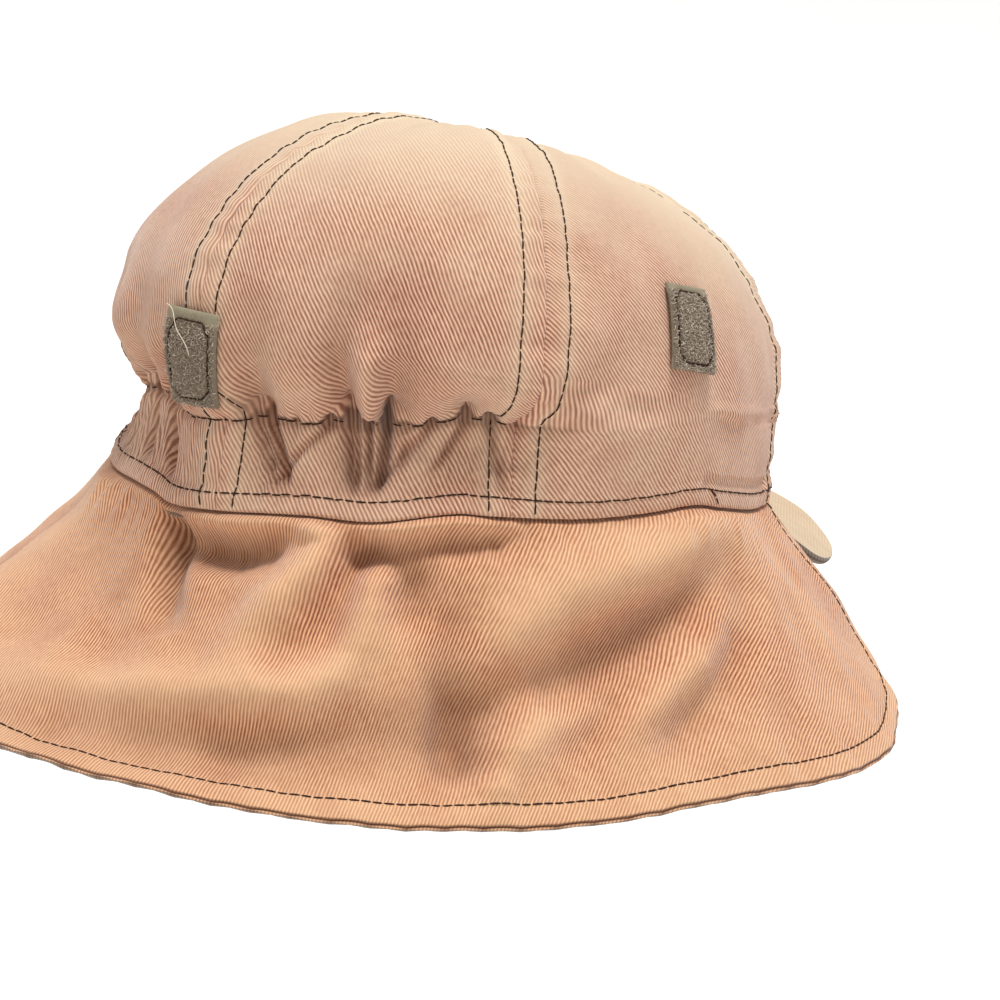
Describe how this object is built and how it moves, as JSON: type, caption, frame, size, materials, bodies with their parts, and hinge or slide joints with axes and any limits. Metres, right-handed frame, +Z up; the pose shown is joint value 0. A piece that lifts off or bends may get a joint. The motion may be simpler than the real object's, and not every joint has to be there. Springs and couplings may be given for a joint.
{
  "type": "legionnaire cap",
  "caption": "Cotton twill sun cap with a panelled crown gathered by an elastic casing at the back, a curved peak, a flared neck flap and loop-tape patches.",
  "frame": {"origin": "centre of the head opening, in the plane of the rim at the temples, where a head carries the cap", "axes": "+Z up through the crown, -Y to the front where the peak is, -X to the wearer's right"},
  "size_m": [0.2747, 0.3201, 0.1753],
  "materials": {
    "crown_twill": "faded salmon-tan cotton twill, worn soft, with dark topstitching",
    "flap_twill": "faded orange-tan cotton twill, soft, with a stitched hem",
    "peak_twill": "cream-tan cotton twill over a stiff board",
    "loop_tape": "grey-khaki nylon loop tape with a fuzzy pile and a woven border"
  },
  "bodies": {
    "root": {"panel_back_right": "crown_twill", "panel_back_left": "crown_twill", "panel_side_right": "crown_twill", "panel_side_left": "crown_twill", "panel_front_right": "crown_twill", "panel_front_left": "crown_twill", "neck_flap": "flap_twill", "peak": "peak_twill", "loop_patch_back": "loop_tape", "loop_patch_right": "loop_tape", "loop_patch_left": "loop_tape"}
  },
  "joints": []
}
